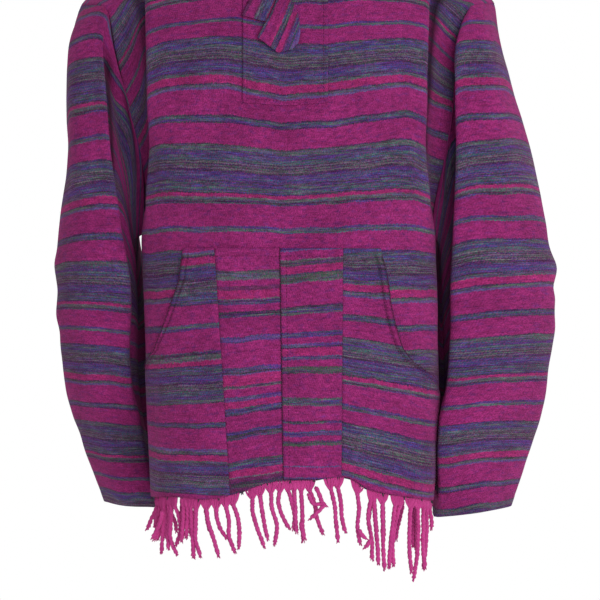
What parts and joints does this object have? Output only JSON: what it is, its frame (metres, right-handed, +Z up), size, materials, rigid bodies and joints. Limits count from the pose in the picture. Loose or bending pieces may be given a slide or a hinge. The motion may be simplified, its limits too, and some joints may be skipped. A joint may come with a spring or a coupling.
{
  "type": "pullover poncho",
  "caption": "Long-sleeved striped pullover poncho with a slit neck, two ties, a pieced pouch pocket and a fringed hem, filled out as worn.",
  "frame": {"origin": "shoulder level at the neck, over the middle of the body, where a wearer's shoulders hold the garment up", "axes": "+Z up, -Y out of the front, +X towards the right as seen from the front"},
  "size_m": [0.6005, 0.2788, 0.7852],
  "materials": {
    "striped_cloth": "heavy brushed twill, magenta with heathered grey, green, blue and violet weft stripes",
    "fringe_yarn": "magenta warp ends twisted into matt two-ply strands"
  },
  "bodies": {
    "root": {"body_front": "striped_cloth", "body_back": "striped_cloth", "sleeve_left": "striped_cloth", "sleeve_right": "striped_cloth", "neck_placket": "striped_cloth", "pocket_panel_1": "striped_cloth", "pocket_panel_2": "striped_cloth", "pocket_panel_3": "striped_cloth", "pocket_panel_4": "striped_cloth", "tie_front": "striped_cloth", "tie_back": "striped_cloth", "fringe_front": "fringe_yarn", "fringe_back": "fringe_yarn"}
  },
  "joints": []
}
